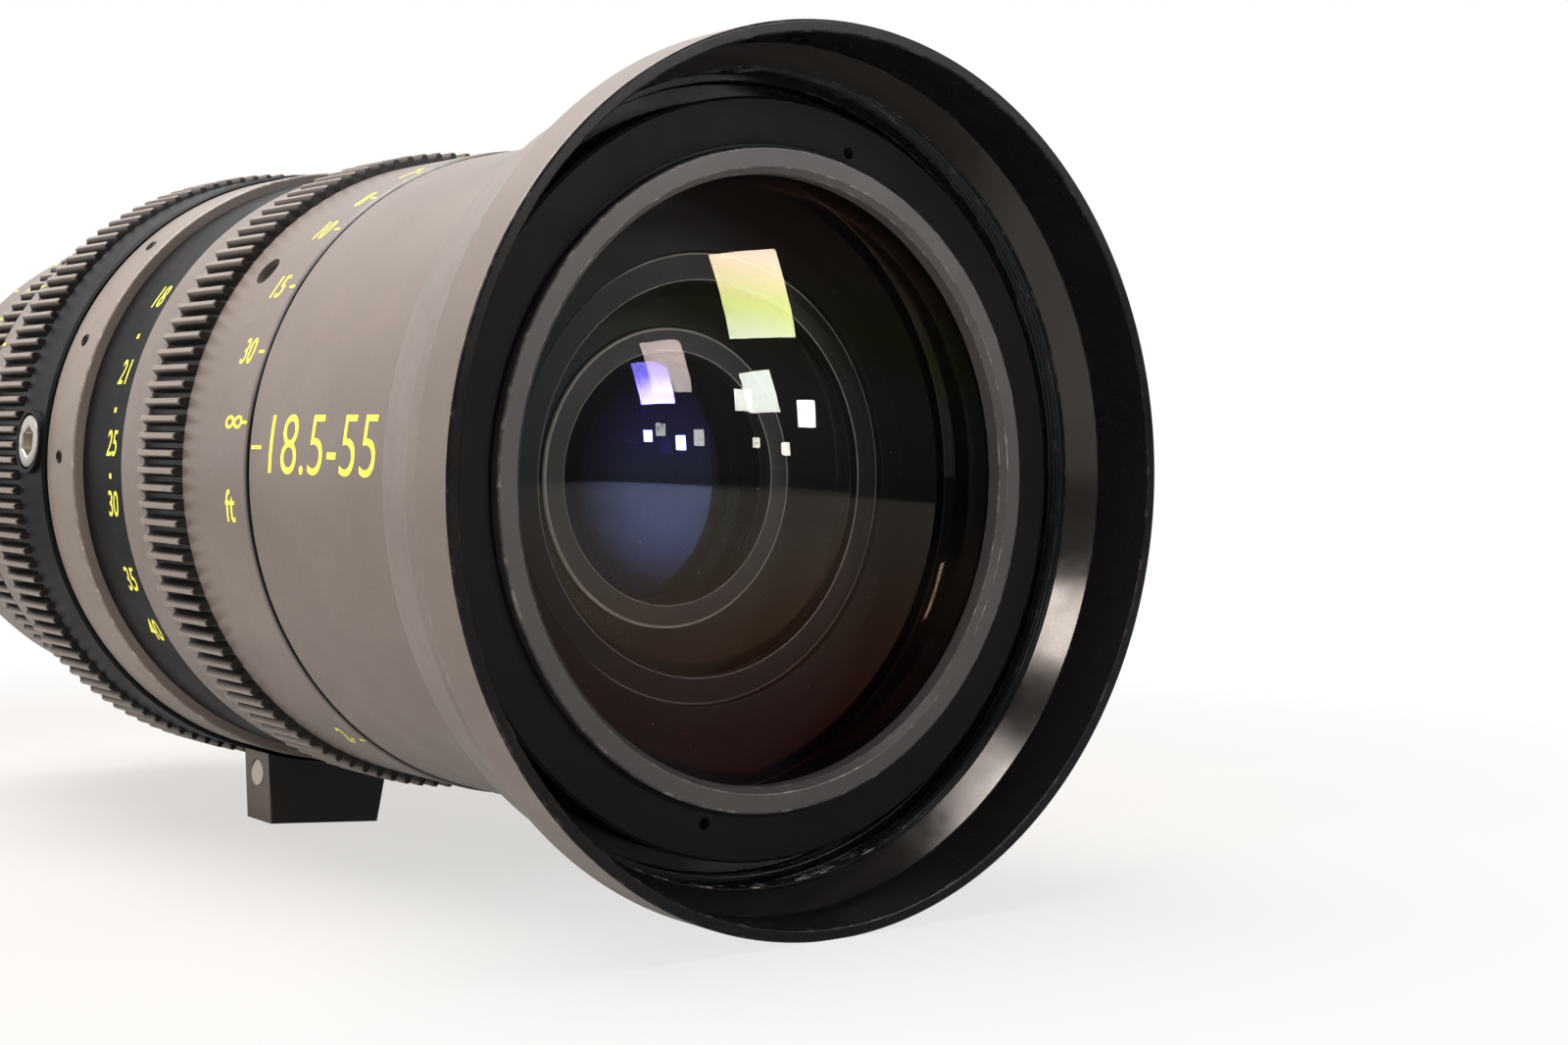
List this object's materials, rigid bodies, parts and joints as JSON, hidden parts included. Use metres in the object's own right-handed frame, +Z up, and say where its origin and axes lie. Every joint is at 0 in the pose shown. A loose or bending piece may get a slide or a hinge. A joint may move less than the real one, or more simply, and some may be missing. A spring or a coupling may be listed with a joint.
{
  "type": "cinema zoom lens",
  "caption": "Cinema zoom lens with geared focus, zoom and iris rings, a flared front, a support foot and a four-tab camera mount; inner glass groups and iris move.",
  "frame": {"origin": "on the optical axis at the flange seat, the rear face of the mount plate", "axes": "+Y rearwards along the optical axis out of the mount, -Y the way the front looks, +Z up away from the support foot"},
  "size_m": [0.114, 0.243, 0.118],
  "materials": {
    "black_anodised": "satin black anodised",
    "barrel_gray": "satin warm gray anodised",
    "gear_gray": "satin dark gray anodised",
    "ring_gray": "satin gray anodised",
    "coated_glass": "polished, coated",
    "bronze": "turned bronze",
    "mount_steel": "turned steel",
    "screw_steel": "bright steel",
    "blade_black": "matt black"
  },
  "bodies": {
    "barrel": {"front_hood": "black_anodised", "front_bezel": "black_anodised", "front_cell": "black_anodised", "front_retaining_ring": "ring_gray", "second_retaining_ring": "ring_gray", "third_retaining_ring": "ring_gray", "front_element": "coated_glass", "second_element": "coated_glass", "third_element": "coated_glass", "front_barrel": "barrel_gray", "main_tube": "black_anodised", "centre_band": "black_anodised", "support_ring": "ring_gray", "rear_band": "black_anodised", "index_band": "black_anodised", "side_boss": "ring_gray", "side_screw": "screw_steel", "support_foot": "black_anodised", "foot_screws": "screw_steel", "iris_base": "black_anodised", "rear_cell": "black_anodised", "relay_element": "coated_glass", "rear_element": "coated_glass", "rear_retaining_ring": "black_anodised", "rear_barrel": "barrel_gray", "mount_shim": "mount_steel", "mount_plate": "mount_steel", "mount_screws": "screw_steel"},
    "focus": {"focus_ring": "barrel_gray", "focus_gear": "gear_gray", "focus_collar": "barrel_gray", "focus_set_screw": "black_anodised", "focus_key": "screw_steel", "focus_cam": "bronze"},
    "focus_group": {"focus_cell": "black_anodised", "focus_element": "coated_glass"},
    "zoom": {"zoom_ring": "barrel_gray", "zoom_gear": "gear_gray", "zoom_key": "screw_steel", "cam_sleeve": "bronze"},
    "variator": {"variator_cell": "black_anodised", "variator_element": "coated_glass"},
    "compensator": {"compensator_cell": "black_anodised", "compensator_element": "coated_glass"},
    "iris": {"iris_ring": "barrel_gray", "iris_gear": "gear_gray", "iris_key": "screw_steel", "iris_rotor": "bronze"},
    "blade_1": {"iris_blade_1": "blade_black"},
    "blade_2": {"iris_blade_2": "blade_black"},
    "blade_3": {"iris_blade_3": "blade_black"},
    "blade_4": {"iris_blade_4": "blade_black"},
    "blade_5": {"iris_blade_5": "blade_black"},
    "blade_6": {"iris_blade_6": "blade_black"},
    "blade_7": {"iris_blade_7": "blade_black"},
    "blade_8": {"iris_blade_8": "blade_black"}
  },
  "joints": [
    {"name": "focus_turn", "type": "hinge", "parent": "barrel", "child": "focus", "pos_m": [0, -0.13, 0], "axis": [0, -1, 0], "range_deg": [0, 304]},
    {"name": "focus_slide", "type": "slide", "parent": "barrel", "child": "focus_group", "axis": [0, 1, 0], "range_m": [0, 0.005]},
    {"name": "zoom_turn", "type": "hinge", "parent": "barrel", "child": "zoom", "pos_m": [0, -0.07, 0], "axis": [0, -1, 0], "range_deg": [0, 120]},
    {"name": "variator_slide", "type": "slide", "parent": "barrel", "child": "variator", "axis": [0, 1, 0], "range_m": [0, 0.02]},
    {"name": "compensator_slide", "type": "slide", "parent": "barrel", "child": "compensator", "axis": [0, 1, 0], "range_m": [-0.008, 0]},
    {"name": "iris_turn", "type": "hinge", "parent": "barrel", "child": "iris", "pos_m": [0, -0.03, 0], "axis": [0, -1, 0], "range_deg": [0, 75]},
    {"name": "blade_1_swing", "type": "hinge", "parent": "barrel", "child": "blade_1", "pos_m": [0, -0.034, 0.033], "axis": [0, -1, 0], "range_deg": [0, 34]},
    {"name": "blade_2_swing", "type": "hinge", "parent": "barrel", "child": "blade_2", "pos_m": [0.02333, -0.034, 0.02333], "axis": [0, -1, 0], "range_deg": [0, 34]},
    {"name": "blade_3_swing", "type": "hinge", "parent": "barrel", "child": "blade_3", "pos_m": [0.033, -0.034, 0], "axis": [0, -1, 0], "range_deg": [0, 34]},
    {"name": "blade_4_swing", "type": "hinge", "parent": "barrel", "child": "blade_4", "pos_m": [0.02333, -0.034, -0.02333], "axis": [0, -1, 0], "range_deg": [0, 34]},
    {"name": "blade_5_swing", "type": "hinge", "parent": "barrel", "child": "blade_5", "pos_m": [0, -0.034, -0.033], "axis": [0, -1, 0], "range_deg": [0, 34]},
    {"name": "blade_6_swing", "type": "hinge", "parent": "barrel", "child": "blade_6", "pos_m": [-0.02333, -0.034, -0.02333], "axis": [0, -1, 0], "range_deg": [0, 34]},
    {"name": "blade_7_swing", "type": "hinge", "parent": "barrel", "child": "blade_7", "pos_m": [-0.033, -0.034, 0], "axis": [0, -1, 0], "range_deg": [0, 34]},
    {"name": "blade_8_swing", "type": "hinge", "parent": "barrel", "child": "blade_8", "pos_m": [-0.02333, -0.034, 0.02333], "axis": [0, -1, 0], "range_deg": [0, 34]}
  ],
  "couplings": [
    {"joint": "focus_slide", "follows": "focus_turn", "m_per_rad": 0.00094236},
    {"joint": "variator_slide", "follows": "zoom_turn", "m_per_rad": 0.0095493},
    {"joint": "compensator_slide", "follows": "zoom_turn", "m_per_rad": -0.0038197},
    {"joint": "blade_1_swing", "follows": "iris_turn", "ratio": 0.45333},
    {"joint": "blade_2_swing", "follows": "iris_turn", "ratio": 0.45333},
    {"joint": "blade_3_swing", "follows": "iris_turn", "ratio": 0.45333},
    {"joint": "blade_4_swing", "follows": "iris_turn", "ratio": 0.45333},
    {"joint": "blade_5_swing", "follows": "iris_turn", "ratio": 0.45333},
    {"joint": "blade_6_swing", "follows": "iris_turn", "ratio": 0.45333},
    {"joint": "blade_7_swing", "follows": "iris_turn", "ratio": 0.45333},
    {"joint": "blade_8_swing", "follows": "iris_turn", "ratio": 0.45333}
  ]
}
